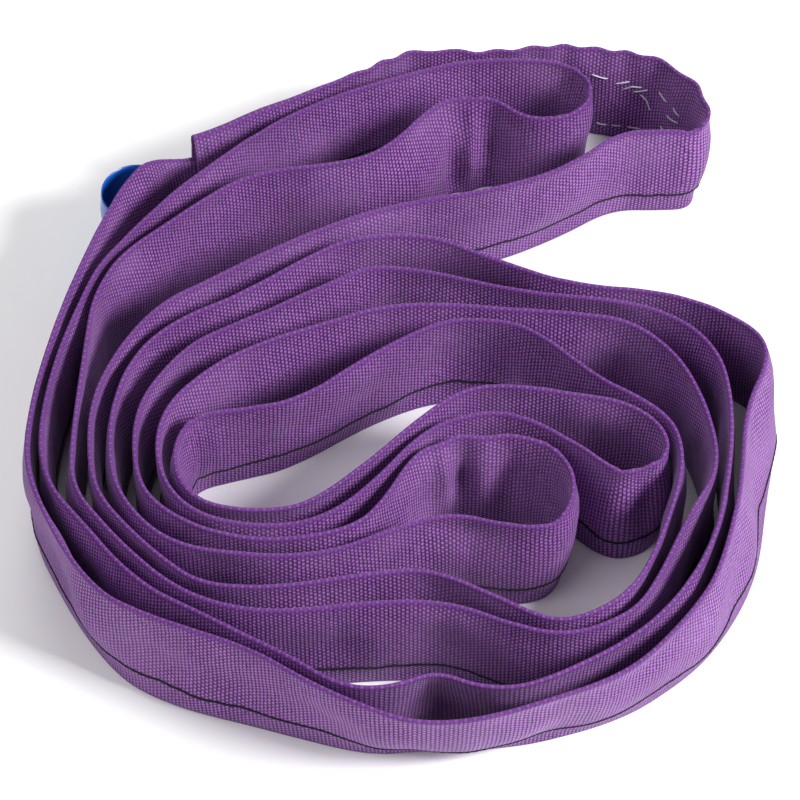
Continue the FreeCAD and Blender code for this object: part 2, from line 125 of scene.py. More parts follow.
# The coil's route at mid height, from the cuff's mouth round to the cuff again: x, y, and how far
# the sleeve's top edge leans to the left of the way that the route runs. Most points and leans are
# the rounded output of a scratch fit to edges clicked in the photo; some were then moved by hand.
ROUTE = [
    ("outer_leg_shoulder", [
        (-0.091, 0.113, -0.003), (-0.099, 0.101, -0.007), (-0.105, 0.087, -0.013),
        (-0.116, 0.061, -0.006)
    ]),
    ("outer_leg_left", [
        (-0.1315, 0.019, 0.002), (-0.137, -0.018, 0.002), (-0.138, -0.047, 0),
        (-0.127, -0.0755, -0.002)
    ]),
    ("outer_leg_lower_left", [
        (-0.1075, -0.107, -0.002), (-0.0885, -0.12, 0.003), (-0.05, -0.133, 0.001)
    ]),
    ("outer_leg_bottom", [
        (-0.014, -0.15, -0.01), (0.008, -0.153, -0.02), (0.043, -0.149, -0.015),
        (0.077, -0.137, -0.012)
    ]),
    ("outer_leg_lower_right", [
        (0.099, -0.119, -0.004), (0.117, -0.095, 0.003), (0.1285, -0.062, 0.012)
    ]),
    ("outer_leg_right", [
        (0.134, -0.023, 0.012), (0.141, -0.002, 0.006), (0.138, 0.013, 0.002), (0.125, 0.024, 0.001)
    ]),
    ("outer_leg_inner_top_right", [
        (0.102, 0.034, 0), (0.063, 0.039, 0), (0.034, 0.053, 0.001), (0.011, 0.064, -0.001)
    ]),
    ("outer_leg_inner_top", [
        (-0.016, 0.063, 0), (-0.031, 0.055, -0.002), (-0.057, 0.035, 0), (-0.086, 0.02, 0)
    ]),
    ("outer_leg_inner_left", [
        (-0.099, 0.002, -0.002), (-0.106, -0.021, -0.002), (-0.106, -0.051, -0.001),
        (-0.098, -0.069, -0.002)
    ]),
    ("outer_leg_inner_bottom", [
        (-0.083, -0.085, -0.002), (-0.064, -0.09, -0.002), (-0.031, -0.093, 0.001),
        (-0.007, -0.084, 0.003), (0.018, -0.073, 0.001)
    ]),
    ("bight_d", [
        (0.039, -0.079, 0), (0.054, -0.078, -0.003), (0.061, -0.068, -0.003), (0.062, -0.054, -0.003),
        (0.055, -0.042, -0.003), (0.04, -0.038, -0.003), (0.018, -0.038, -0.001)
    ]),
    ("second_leg_inner_bottom", [
        (0.007, -0.047, -0.005), (-0.004, -0.069, -0.005), (-0.017, -0.079, 0.002),
        (-0.041, -0.083, 0.005)
    ]),
    ("second_leg_inner_left", [
        (-0.067, -0.082, 0), (-0.085, -0.072, 0), (-0.095, -0.059, 0.001), (-0.098, -0.035, 0.001)
    ]),
    ("second_leg_inner_top_left", [
        (-0.094, -0.015, 0.001), (-0.079, 0.009, 0), (-0.058, 0.02, 0.001), (-0.028, 0.038, 0)
    ]),
    ("second_leg_inner_top", [
        (-0.011, 0.047, 0.002), (0.014, 0.044, 0.001), (0.049, 0.033, 0), (0.085, 0.03, 0)
    ]),
    ("second_leg_right", [
        (0.104, 0.022, 0.001), (0.118, 0.007, 0.001), (0.123, -0.011, 0), (0.122, -0.045, 0)
    ]),
    ("second_leg_lower_right", [(0.115, -0.079, 0.001), (0.1, -0.108, 0.001), (0.083, -0.125, 0.003)]),
    ("second_leg_bottom", [
        (0.053, -0.14, 0.009), (0.033, -0.143, 0.013), (0.012, -0.134, 0.013), (-0.005, -0.143, 0.012)
    ]),
    ("second_leg_lower_left", [
        (-0.022, -0.143, 0.012), (-0.039, -0.133, 0.006), (-0.073, -0.115, 0.001), (-0.093, -0.104, 0)
    ]),
    ("second_leg_left", [
        (-0.116, -0.077, -0.002), (-0.129, -0.056, 0.002), (-0.133, -0.028, 0.001),
        (-0.129, 0.007, -0.001)
    ]),
    ("second_leg_shoulder", [
        (-0.118, 0.048, -0.004), (-0.103, 0.071, -0.003), (-0.074, 0.104, 0), (-0.044, 0.13, 0),
        (-0.011, 0.148, 0), (0.027, 0.161, 0.001)
    ]),
    ("bight_a", [
        (0.052, 0.161, 0.001), (0.069, 0.158, 0.002), (0.076, 0.148, 0.004), (0.074, 0.137, 0.004),
        (0.065, 0.129, 0.002), (0.051, 0.129, 0.003)
    ]),
    ("third_leg_top", [
        (0.036, 0.1385, -0.004), (0.022, 0.137, -0.009), (0.01, 0.126, -0.008), (-0.007, 0.108, -0.002)
    ]),
    ("third_leg_shoulder", [(-0.03, 0.102, 0.001), (-0.059, 0.097, -0.001), (-0.079, 0.081, -0.001)]),
    ("third_leg_left", [
        (-0.105, 0.056, -0.001), (-0.116, 0.037, -0.002), (-0.118, 0.007, -0.001),
        (-0.121, -0.034, 0.001)
    ]),
    ("third_leg_lower_left", [
        (-0.12, -0.059, 0), (-0.108, -0.076, -0.001), (-0.088, -0.099, -0.001),
        (-0.068, -0.112, -0.001)
    ]),
    ("third_leg_bottom", [
        (-0.043, -0.117, 0), (-0.006, -0.112, 0), (0.019, -0.113, 0.001), (0.045, -0.125, 0)
    ]),
    ("third_leg_lower_right", [
        (0.062, -0.126, -0.001), (0.082, -0.117, 0), (0.091, -0.102, -0.002), (0.105, -0.073, 0.001)
    ]),
    ("third_leg_right", [
        (0.116, -0.053, -0.001), (0.115, -0.027, 0), (0.106, 0, 0), (0.091, 0.017, -0.001)
    ]),
    ("third_leg_inner_top", [
        (0.075, 0.022, -0.001), (0.044, 0.025, 0), (0.007, 0.029, -0.001), (-0.019, 0.022, -0.001)
    ]),
    ("third_leg_inner_left", [
        (-0.058, 0.006, 0), (-0.077, -0.009, 0), (-0.088, -0.027, -0.001), (-0.089, -0.047, -0.001)
    ]),
    ("third_leg_inner_bottom", [
        (-0.082, -0.064, -0.002), (-0.069, -0.074, -0.002), (-0.048, -0.077, -0.004),
        (-0.027, -0.074, -0.002)
    ]),
    ("third_leg_inner_end", [
        (-0.011, -0.06, -0.001), (0.008, -0.035, 0), (0.027, -0.026, 0), (0.043, -0.026, 0)
    ]),
    ("bight_c", [
        (0.061, -0.0395, 0.003), (0.077, -0.055, 0.005), (0.0895, -0.0548, 0.003), (0.098, -0.046, -0.001),
        (0.096, -0.035, -0.005), (0.088, -0.024, -0.005), (0.07, -0.018, -0.002)
    ]),
    ("inner_leg_inner_end", [
        (0.042, -0.012, 0), (0.025, -0.014, -0.001), (0.009, -0.027, 0), (-0.015, -0.053, 0)
    ]),
    ("inner_leg_inner_left", [
        (-0.034, -0.069, 0.001), (-0.053, -0.071, 0.002), (-0.071, -0.067, 0.002),
        (-0.08, -0.056, 0.003)
    ]),
    ("inner_leg_hole_top", [
        (-0.0825, -0.0405, 0.001), (-0.0777, -0.0266, -0.003), (-0.0602, -0.0217, -0.005),
        (-0.039, -0.0162, -0.007)
    ]),
    ("inner_leg_inner_top", [
        (-0.011, 0.0056, -0.005), (0.0135, 0.019, -0.001), (0.035, 0.02, 0.001), (0.051, 0.015, 0.001)
    ]),
    ("inner_leg_right", [
        (0.07, -0.006, 0.001), (0.094, -0.022, -0.001), (0.103, -0.034, -0.001),
        (0.103, -0.053, 0.001)
    ]),
    ("inner_leg_lower_right", [
        (0.094, -0.082, 0.001), (0.083, -0.106, 0.001), (0.068, -0.117, 0.001), (0.053, -0.12, 0.002)
    ]),
    ("inner_leg_bottom", [
        (0.035, -0.11, 0.001), (0.011, -0.098, 0), (-0.008, -0.1, -0.001), (-0.043, -0.106, 0.001)
    ]),
    ("inner_leg_lower_left", [
        (-0.07, -0.104, 0.001), (-0.084, -0.094, 0.001), (-0.105, -0.071, 0.001),
        (-0.113, -0.053, 0.001)
    ]),
    ("inner_leg_left", [
        (-0.115, -0.022, 0), (-0.108, 0.002, 0), (-0.092, 0.028, 0), (-0.07, 0.042, 0.001)
    ]),
    ("inner_leg_top", [
        (-0.032, 0.067, 0), (-0.003, 0.08, 0.001), (0.0395, 0.091, -0.005), (0.067, 0.105, -0.006)
    ]),
    ("bight_b", [
        (0.087, 0.1213, -0.003), (0.107, 0.1215, -0.002), (0.12, 0.122, -0.003), (0.123, 0.1335, -0.004),
        (0.1195, 0.147, -0.002), (0.11, 0.1595, -0.001), (0.09, 0.166, -0.002)
    ]),
    ("outer_leg_top", [
        (0.066, 0.171, -0.001), (0.036, 0.166, 0.001), (0.007, 0.1695, 0.002), (-0.011, 0.159, 0.003)
    ]),
    ("cuff", [(-0.045, 0.1406, 0.0035), (-0.075, 0.1216, 0.002)]),
]
# Dents and buckles, listed one by one: where each one is (x, y), its height as a share of the width, how
# far it reaches along the sleeve and up it (a share again), and how far it pushes to the left.
DENTS = [
    (0.0285, 0.139, 0.45, 0.0055, 0.45, 0.0042),
    (0.0395, 0.140, 0.40, 0.0045, 0.40, -0.0028),
    (0.0180, 0.136, 0.30, 0.0050, 0.30, -0.0036),
    (0.0240, 0.138, 0.75, 0.0030, 0.14, -0.0014),
    (-0.020, 0.104, 0.6, 0.012, 0.3, 0.0022),
    (-0.045, 0.0995, 0.4, 0.010, 0.3, -0.0020),
    (0.003, 0.121, 0.65, 0.008, 0.4, 0.0016),
    (0.091, -0.054, 0.6, 0.005, 0.35, 0.0026),
    (0.079, -0.055, 0.55, 0.006, 0.35, -0.0024),
    (0.020, 0.0188, 0.6, 0.010, 0.35, 0.0020),
    (0.050, 0.0155, 0.5, 0.009, 0.35, -0.0022),
    (0.014, -0.0395, 0.6, 0.005, 0.40, 0.0032),
    (0.022, -0.0380, 0.5, 0.004, 0.35, -0.0030),
    (0.031, -0.0380, 0.6, 0.005, 0.40, 0.0028),
    (0.041, -0.0380, 0.5, 0.005, 0.35, -0.0028),
    (0.0, -0.098, 0.5, 0.010, 0.35, 0.0018),
    (0.115, 0.155, 0.6, 0.006, 0.35, 0.0015),
    (0.098, 0.1635, 0.45, 0.007, 0.4, -0.0015),
    (0.080, 0.1685, 0.6, 0.008, 0.35, 0.0015),
    (-0.057, 0.131, 0.55, 0.012, 0.4, -0.0012),
    (-0.131, -0.07, 0.5, 0.015, 0.4, 0.0014),
    (-0.07, -0.127, 0.5, 0.014, 0.4, -0.0014),
    (-0.03, -0.146, 0.55, 0.010, 0.35, 0.0016),
    (0.025, -0.152, 0.5, 0.012, 0.4, -0.0014),
    (0.06, -0.144, 0.5, 0.013, 0.4, 0.0015),
    (0.109, -0.107, 0.5, 0.014, 0.4, -0.0016),
    (0.131, -0.045, 0.5, 0.014, 0.4, 0.0014),
    (-0.078, -0.0268, 0.5, 0.007, 0.45, 0.0014),
    (-0.05, -0.019, 0.5, 0.010, 0.4, -0.0014),
]
CONTROLS = np.array([point for _, span in ROUTE for point in span]) + np.array(CENTRE_SHIFT)
MOUTH = (CONTROLS[-1] + CONTROLS[0]) / 2


# Materials ---------------------------------------------------------------------------------------


class Number:
    """A number that changes over a surface. Arithmetic on it adds Math nodes."""

    def __init__(self, finish, output):
        self.finish = finish
        self.output = output

    def math(self, operation, *others, first=None):
        values = ([] if first is None else [first]) + [self, *others]
        return self.finish.add("ShaderNodeMath", {"operation": operation}, dict(enumerate(values)))

    def __add__(self, other):
        return self.math("ADD", other)

    def __sub__(self, other):
        return self.math("SUBTRACT", other)

    def __mul__(self, other):
        return self.math("MULTIPLY", other)

    def __truediv__(self, other):
        return self.math("DIVIDE", other)

    def __rsub__(self, other):
        return self.math("SUBTRACT", first=other)

    __radd__ = __add__

    def sine(self):
        return self.math("SINE")

    def between(self, low, high):
        """0 where it is under low, 1 where it is over high, and smooth between them."""
        settings = {"interpolation_type": "SMOOTHSTEP"}
        return self.finish.add("ShaderNodeMapRange", settings, {0: self, 1: low, 2: high})


class Finish:
    """A material built from nodes round one Principled shader, with its constants set on the shader."""

    def __init__(self, name, **constants):
        self.material = bpy.data.materials.new(name)
        self.material.use_nodes = True
        self.tree = self.material.node_tree
        self.shader = self.tree.nodes["Principled BSDF"]
        for socket, value in constants.items():
            self.shader.inputs[socket.replace("_", " ").title().replace("Ior", "IOR")].default_value = value

    def add(self, kind, settings=(), inputs=(), output=0):
        """Adds a node: its settings, then the values or links of its sockets. Returns one output."""
        node = self.tree.nodes.new(kind)
        for name, value in dict(settings).items():
            setattr(node, name, value)
        for place, value in dict(inputs).items():
            if isinstance(value, Number):
                self.tree.links.new(value.output, node.inputs[place])
            else:
                node.inputs[place].default_value = value
        return Number(self, node.outputs[output])

    def mix(self, share, first, second):
        """A colour between two others."""
        colours = [c if isinstance(c, Number) else (*c, 1) for c in (first, second)]
        settings = {"data_type": "RGBA", "blend_type": "MIX"}
        return self.add("ShaderNodeMix", settings, {0: share, 6: colours[0], 7: colours[1]}, output=2)

    def noise(self, scale, detail):
        """Noise from the piece's own place, in cells of 1 / scale metres."""
        place = self.add("ShaderNodeTexCoord", output="Object")
        return self.add("ShaderNodeTexNoise", inputs={"Vector": place, "Scale": scale, "Detail": detail})

    def flat(self):
        """The places along and across the cloth as it lies flat, in metres."""
        place = self.add("ShaderNodeUVMap", {"uv_map": "cloth"})
        split = self.add("ShaderNodeSeparateXYZ", inputs={0: place})
        return split, Number(self, split.output.node.outputs[1])

    def feed(self, **sockets):
        """Links numbers to the shader's sockets."""
        for name, value in sockets.items():
            self.tree.links.new(value.output, self.shader.inputs[name.replace("_", " ").title()])

    def bump(self, height, strength, distance):
        inputs = {"Height": height, "Strength": strength, "Distance": distance}
        return self.add("ShaderNodeBump", inputs=inputs)


def violet_weave():
    """Plain-woven violet polyester: a weave pattern of light bars and lighter floats, whose light is partly
    a painted highlight, on a dark ground that is partly painted shade between the yarns; and a soft sheen.
    """
    cloth = Finish(
        "violet_weave", sheen_weight=0.22, sheen_roughness=0.35, sheen_tint=(0.80, 0.62, 0.95, 1),
        specular_ior_level=0.35,
    )
    along, around = cloth.flat()
    slow = cloth.noise(38, 3)
    fine = cloth.noise(420, 2)
    fibre = cloth.noise(2600, 2)
    drift = (fine - 0.5) * 0.0005
    columns = ((along + drift) * (math.pi / ALONG_PITCH)).sine()
    rows = ((around + drift) * (math.pi / ACROSS_PITCH)).sine()
    bars = columns.math("ABSOLUTE")
    floats = (columns * rows).math("MAXIMUM", 0)
    height = bars * 0.4 + floats * 0.6
    lit = (height + (fine - 0.5) * 0.35 + (fibre - 0.5) * 0.3).between(0.02, 0.92)
    # Pale greyish-lilac patches mixed into the colour at random: painted sheen.
    painted_sheen = cloth.noise(24, 2).between(0.42, 0.68)
    # crown is the weave's colour with a painted highlight on the raised yarns, and ground the same colour
    # with painted shade between them.
    ground = cloth.mix(slow, (0.024, 0.002, 0.046), (0.046, 0.006, 0.080))
    crown = cloth.mix(slow, (0.290, 0.085, 0.405), (0.490, 0.215, 0.620))
    woven = cloth.mix(painted_sheen * 0.2, cloth.mix(lit, ground, crown), (0.300, 0.160, 0.370))
    to_fold = WIDTH / 2 - ((around / WIDTH).math("FRACT") - 0.5).math("ABSOLUTE") * WIDTH
    fold = 1 - to_fold.between(0.0006, 0.0026)
    bound = cloth.mix(fibre, (0.070, 0.009, 0.125), (0.125, 0.026, 0.200))
    cloth.feed(
        base_color=cloth.mix(fold * 0.75, woven, bound),
        roughness=0.62 + (1 - height) * 0.2,
        normal=cloth.bump(height * (1 - fold * 0.7) + (fibre - 0.5) * 0.25, 0.5, 0.0004),
    )
    return cloth.material


def black_tracer():
    yarn = Finish("black_tracer", specular_ior_level=0.3)
    along, across = yarn.flat()
    twist = ((along * 1.4 + across) * (2 * math.pi / 0.0008)).sine() * 0.5 + 0.5
    fluff = yarn.noise(1500, 2)
    yarn.feed(
        base_color=yarn.mix(twist * fluff, (0.004, 0.002, 0.007), (0.022, 0.012, 0.034)),
        roughness=0.6 + fluff * 0.25,
        normal=yarn.bump(twist, 0.4, 0.0001),
    )
    return yarn.material


def blue_label():
    """Glossy coated polyester, faintly creased, with heat-sealed edges."""
    film = Finish("blue_label", coat_weight=0.5, coat_roughness=0.12, specular_ior_level=0.55)
    along, across = film.flat()
    creases_and_shade = film.noise(90, 2)
    grain = film.noise(1800, 2)
    weave = (along * (math.pi / 0.0004)).sine() * (across * (math.pi / 0.0004)).sine()
    sealed = (across - LABEL_HEIGHT / 2).math("ABSOLUTE").between(LABEL_HEIGHT / 2 - 0.002, LABEL_HEIGHT / 2)
    # The blue is lighter where the creases rise and darker in their hollows: painted shade.
    body = film.mix(creases_and_shade, (0.000, 0.075, 0.420), (0.004, 0.130, 0.600))
    film.feed(
        base_color=film.mix(sealed * 0.6, body, (0.000, 0.045, 0.300)),
        roughness=0.22 + grain * 0.16,
        normal=film.bump(weave * 0.25 + creases_and_shade * 2, 0.25, 0.0004),
    )
    return film.material


def twisted(name, dark, light, roughness=0.55, pitch=0.0011):
    """Twisted thread or yarn in two tones."""
    yarn = Finish(name, sheen_weight=0.2, specular_ior_level=0.4)
    along, across = yarn.flat()
    strands = ((along + across * 1.2) * (2 * math.pi / pitch)).sine() * 0.5 + 0.5
    fluff = yarn.noise(2200, 2)
    yarn.feed(
        base_color=yarn.mix(strands * 0.7 + fluff * 0.3, dark, light),
        roughness=roughness + fluff * 0.2,
        normal=yarn.bump(strands, 0.6, 0.00012),
    )
    return yarn.material


# Shapes ------------------------------------------------------------------------------------------


def smooth_line(points):
    """Places along the smooth closed line that has these control points."""
    data = bpy.data.curves.new("line", "CURVE")
    data.dimensions = "3D"
    data.resolution_u = 24
    spline = data.splines.new("NURBS")
    spline.points.add(len(points) - 1)
    for control, place in zip(spline.points, points):
        control.co = (*place, 1)
    spline.use_cyclic_u = True
    spline.order_u = 3
    holder = bpy.data.objects.new("line", data)
    bpy.context.collection.objects.link(holder)
    mesh = bpy.data.meshes.new_from_object(holder)
    line = np.array([v.co for v in mesh.vertices])
    bpy.data.objects.remove(holder)
    bpy.data.meshes.remove(mesh)
    return line


def softened(values, rounds):
    """Values round the loop, each averaged with its neighbours, several times."""
    for _ in range(rounds):
        values = (np.roll(values, 1, 0) + 2 * values + np.roll(values, -1, 0)) / 4
    return values


def smoothstep(value, low, high):
    share = np.clip((value - low) / (high - low), 0, 1)
    return share * share * (3 - 2 * share)


def wander(along, across, pace, rows, seed):
    """Smooth random values from -1 to 1 that change every pace metres along and rows times across."""
    columns = round(LENGTH / pace)
    lattice = np.random.default_rng(seed).uniform(-1, 1, (columns, rows + 2))
    u = along / LENGTH * columns
    v = across * rows
    i = np.floor(u).astype(int)
    j = np.clip(np.floor(v).astype(int), 0, rows)
    a = u - i
    b = v - j
    a = a * a * (3 - 2 * a)
    b = b * b * (3 - 2 * b)
    low = lattice[i % columns, j] * (1 - a) + lattice[(i + 1) % columns, j] * a
    high = lattice[i % columns, j + 1] * (1 - a) + lattice[(i + 1) % columns, j + 1] * a
    return low * (1 - b) + high * b


line = smooth_line(CONTROLS)
start = np.argmin(np.hypot(*(line - MOUTH)[:, :2].T))
line = np.roll(line, -start, axis=0)
steps = np.hypot(*np.diff(np.vstack([line, line[:1]]), axis=0)[:, :2].T)
line_at = np.concatenate([[0], np.cumsum(steps)])
LENGTH = line_at[-1]
closed_line = np.vstack([line, line[:1]])


def on_route(along):
    """The route's place and lean at these distances from the cuff's mouth."""
    along = np.mod(along, LENGTH)
    return np.stack([np.interp(along, line_at, closed_line[:, k]) for k in range(3)], axis=-1)


def heading(along, reach=0.0015):
    """The route's unit direction, and its left."""
    way = (on_route(along + reach) - on_route(along - reach))[..., :2]
    way /= np.linalg.norm(way, axis=-1, keepdims=True)
    left = np.stack([-way[..., 1], way[..., 0]], axis=-1)
    return way, left


def curvature(along, reach=0.004):
    """How sharply the route turns to its left, in turns of one radian a metre."""
    before, _ = heading(along - reach)
    after, _ = heading(along + reach)
    cross = before[..., 0] * after[..., 1] - before[..., 1] * after[..., 0]
    return cross / (2 * reach)


def from_mouth(along):
    """How far past the cuff's mouth a place is; negative inside the cuff."""
    return np.where(along > LENGTH / 2, along - LENGTH, along)


def upright(along, tail):
    """Where the sleeve's foot is, which way its width runs, its width, and which way its face looks."""
    place = on_route(along)
    _, left = heading(along)
    past = np.where(tail, from_mouth(np.mod(along, LENGTH)), 1.0)
    gathered = 1 - smoothstep(np.where(tail, past, along), 0, MOUTH_REACH)
    pinch = np.where(tail | (along < MOUTH_REACH), gathered, 0)
    width = WIDTH - (MOUTH_DROP + MOUTH_LIFT) * pinch
    lean = place[..., 2]
    rise = np.sqrt(width**2 - lean**2)
    across = np.concatenate([left * lean[..., None], rise[..., None]], axis=-1) / width[..., None]
    flat_left = np.concatenate([left, np.zeros_like(rise)[..., None]], axis=-1)
    face = flat_left * (rise / width)[..., None] - np.array([0, 0, 1.0]) * (lean / width)[..., None]
    below = place[..., :2] - left * lean[..., None] / 2
    foot = np.concatenate([below, (MOUTH_LIFT * pinch)[..., None]], axis=-1)
    return foot, across, width, face, pinch


def nearest_along(x, y):
    """The distance along the route to the place nearest to this one."""
    away = np.hypot(*(line[:, :2] - np.array(CENTRE_SHIFT)[:2] - (x, y)).T)
    return line_at[np.argmin(away)]


def dents(along, share):
    """How far the handmade dents push the sleeve to its left."""
    push = np.zeros(np.broadcast(along, share).shape)
    for x, y, height, reach, tall, depth in DENTS:
        away = np.mod(along - nearest_along(x, y) + LENGTH / 2, LENGTH) - LENGTH / 2
        push = push + depth * np.exp(-((away / reach) ** 2) - ((share - height) / tall) ** 2)
    return push


def keep_legs_apart():
    """How far each place on the sleeve's middle surface moves along its face's direction, to push
    the legs apart, as a cubic in the height; and the room that is then left on each side."""
    count = round(LENGTH / COARSE_STEP)
    along = np.arange(count) * LENGTH / count
    share = np.linspace(0.02, 0.98, COARSE_ROWS)
    foot, across, width, face, _ = upright(along, np.zeros(count, bool))
    middle_line = on_route(along)[:, :2]
    _, left = heading(along)
    surface = foot[:, None] + across[:, None] * (share[None, :, None] * width[:, None, None])
    shift = np.zeros((count, COARSE_ROWS))
    own = round(OWN_STRETCH / COARSE_STEP)
    powers = np.vander(share, 4)
    fit = np.linalg.pinv(powers)

    def neighbours(reach):
        places = surface + face[:, None] * shift[..., None]
        tree = kdtree.KDTree(places.size // 3)
        for index, place in enumerate(places.reshape(-1, 3)):
            tree.insert(place, index)
        tree.balance()
        for k in range(count):
            for row in range(COARSE_ROWS):
                here = places[k, row]
                for there, index, distance in tree.find_range(here, reach):
                    other = index // COARSE_ROWS
                    away = abs(other - k)
                    if min(away, count - away) <= own:
                        continue
                    side = int((middle_line[other] - middle_line[k]) @ left[k] > 0)
                    gap = (2 * side - 1) * float((np.array(there) - here) @ face[k])
                    yield k, row, side, gap, distance

    for _ in range(PUSH_ROUNDS):
        push = np.zeros((count, COARSE_ROWS, 2))
        for k, row, side, gap, _ in neighbours(LEGS_APART * 1.15):
            push[k, row, side] = max(push[k, row, side], LEGS_APART - gap)
        move = 0.5 * (push[..., 0] - push[..., 1])
        shift = shift + softened(move, 3)
        shift = softened((shift @ fit.T) @ powers.T, 1)
    room = np.full((count, COARSE_ROWS, 2), MOST_ROOM)
    for k, row, side, _, distance in neighbours(2 * MOST_ROOM):
        room[k, row, side] = min(room[k, row, side], distance / 2)
    room = np.minimum(room, softened(room, 4))
    return along, shift @ fit.T, share, room


coarse_at, coarse_cubic, coarse_share, coarse_room = keep_legs_apart()


def around_loop(along, values):
    """Values kept at the coarse stations, at any distances along."""
    along = np.mod(along, LENGTH)
    at = np.append(coarse_at, LENGTH)
    flat = values.reshape(len(values), -1)
    flat = np.vstack([flat, flat[:1]])
    out = np.stack([np.interp(along, at, column) for column in flat.T], axis=-1)
    return out.reshape(*np.shape(along), *values.shape[1:])


def sleeve_surface(along, share, side, tail=False, inset=0.0):
    """Places on the sleeve. share runs from the foot (0) to the top (1), and side is 1 on the left face
    and -1 on the right one. All three are arrays of one shape."""
    tail = np.broadcast_to(tail, along.shape)
    foot, across, width, face, pinch = upright(along, tail)
    d = share * WIDTH
    from_fold = np.minimum(d, WIDTH - d)
    cuff = np.where(tail, 0, 1 - smoothstep(LENGTH - along, CUFF_LENGTH - 0.004, CUFF_LENGTH + 0.004))
    bend = curvature(along)
    tight = smoothstep(np.abs(bend), 25, 95)
    inner = smoothstep(bend * side, 20, 90)

    ball = FOLD_RADIUS + cuff * CUFF_SWELL * 0.6
    x = np.clip(from_fold / ball, 0, 1)
    bead = ball * np.sqrt(1 - (1 - x) ** 2)
    neck = smoothstep(from_fold, ball, NECK_AT)
    full = smoothstep(from_fold, NECK_AT, FULL_AT)
    half = bead * (1 - neck) + (NECK_HALF + cuff * CUFF_SWELL) * neck
    body = MIDDLE_HALF + cuff * CUFF_SWELL + BODY_SLACK * wander(along, share, 0.06, 2, 3)
    half = half * (1 - full) + body * full
    half = half * (1 - 0.35 * pinch * (1 - cuff))

    loose = smoothstep(from_fold, 0.001, 0.008)

    def both(pace, rows, first):
        left_values = wander(along, share, pace, rows, first)
        right_values = wander(along, share, pace, rows, first + 1)
        return np.where(side > 0, left_values, right_values)

    slow = sum(depth * both(pace, rows, first) for depth, pace, rows, first in SLACKS)
    crease_line = along / CREASE_PITCH + 0.55 * both(0.012, 3, 41) + 0.3 * both(0.006, 4, 51)
    crease = np.abs(np.sin(np.pi * crease_line)) ** 0.7 - 0.62
    towards_top = 0.55 + 0.45 * np.cos(2 * np.pi * share)
    slow = slow + inner * (0.35 + 0.65 * towards_top) * CREASE_DEPTH * crease
    pleats = np.sin(2 * np.pi * (share * 3.2 + 0.15 * both(0.02, 2, 61)) + 0.9 * side)
    slow = slow + pinch * (1 - cuff) * PLEAT_DEPTH * pleats
    half = half + slow * loose * (1 - 0.6 * cuff)

    room = around_loop(along, coarse_room)
    rows = np.clip((share - coarse_share[0]) / (coarse_share[1] - coarse_share[0]), 0, COARSE_ROWS - 1.001)
    row = rows.astype(int)
    part = rows - row
    pick = np.where(side > 0, 1, 0)
    if along.ndim == 2:
        index = np.indices(along.shape)
        low = room[index[0], index[1], row, pick]
        high = room[index[0], index[1], row + 1, pick]
    else:
        index = np.arange(len(along))
        low = room[index, row, pick]
        high = room[index, row + 1, pick]
    limit = low * (1 - part) + high * part - SKIN_GAP
    half = np.minimum(half, np.maximum(limit, LEAST_HALF))
    half = np.where(tail, np.minimum(half, MIDDLE_HALF * 0.72), half)
    half = np.maximum(half - inset, 0) * side

    cubic = around_loop(along, coarse_cubic)
    shift = sum(cubic[..., k] * share ** (3 - k) for k in range(4))
    bow = BOW_DEPTH * wander(along, share, 0.024, 2, 71) * np.sin(np.pi * share)
    bow = bow + dents(along, share)
    back = LENGTH - along
    scallop = smoothstep(back, 0.05, 0.09) * (1 - smoothstep(back, 0.23, 0.27)) * share**3
    ripple = np.sin(2 * np.pi * back / SCALLOP_PITCH + 2.2 * wander(along, share * 0, 0.025, 1, 75))
    bow = bow + SCALLOP_DEPTH * scallop * ripple
    edge_wave = 1 + 0.010 * wander(along, share, 0.022, 1, 81) + 0.004 * wander(along, share, 0.008, 1, 82)
    edge_wave = edge_wave - 0.004 * scallop * (1 + ripple)
    edge_wave = edge_wave - 0.012 * tight * (1 + np.sin(2 * np.pi * crease_line)) * share
    trim = np.clip(d, inset, WIDTH - inset)
    places = foot + across * (trim * width / WIDTH * edge_wave)[..., None]
    places = places + face * (half + shift + bow)[..., None]
    places[..., 2] = np.maximum(places[..., 2], 0.0)
    return places


FACE_STOPS = np.array([0.3, 1.0, 2.2, 3.6, 6, 10, 15, 20, 24, 28, 33, 38, 42, 44.4, 45.8, 47, 47.7]) / 48
RING_SHARE = np.concatenate([[0], FACE_STOPS, [1], FACE_STOPS[::-1]])
RING_SIDE = np.concatenate([[-1], -np.ones(len(FACE_STOPS)), [1], np.ones(len(FACE_STOPS))])
RING_AROUND = np.where(RING_SIDE < 0, RING_SHARE, 2 - RING_SHARE) * WIDTH


def stations():
    """Distances along the sleeve, closer together in the bights and at the cuff's mouth."""
    along = np.linspace(0, LENGTH, 9000)
    tight = smoothstep(np.abs(curvature(along)), 20, 70)
    mouth = 1 - smoothstep(np.abs(from_mouth(along)), 0.02, 0.05)
    weight = 1 + BEND_DENSITY * np.maximum(tight, mouth)
    total = np.concatenate([[0], np.cumsum((weight[1:] + weight[:-1]) / 2)])
    return np.interp(np.linspace(0, total[-1], STATIONS), total, along)


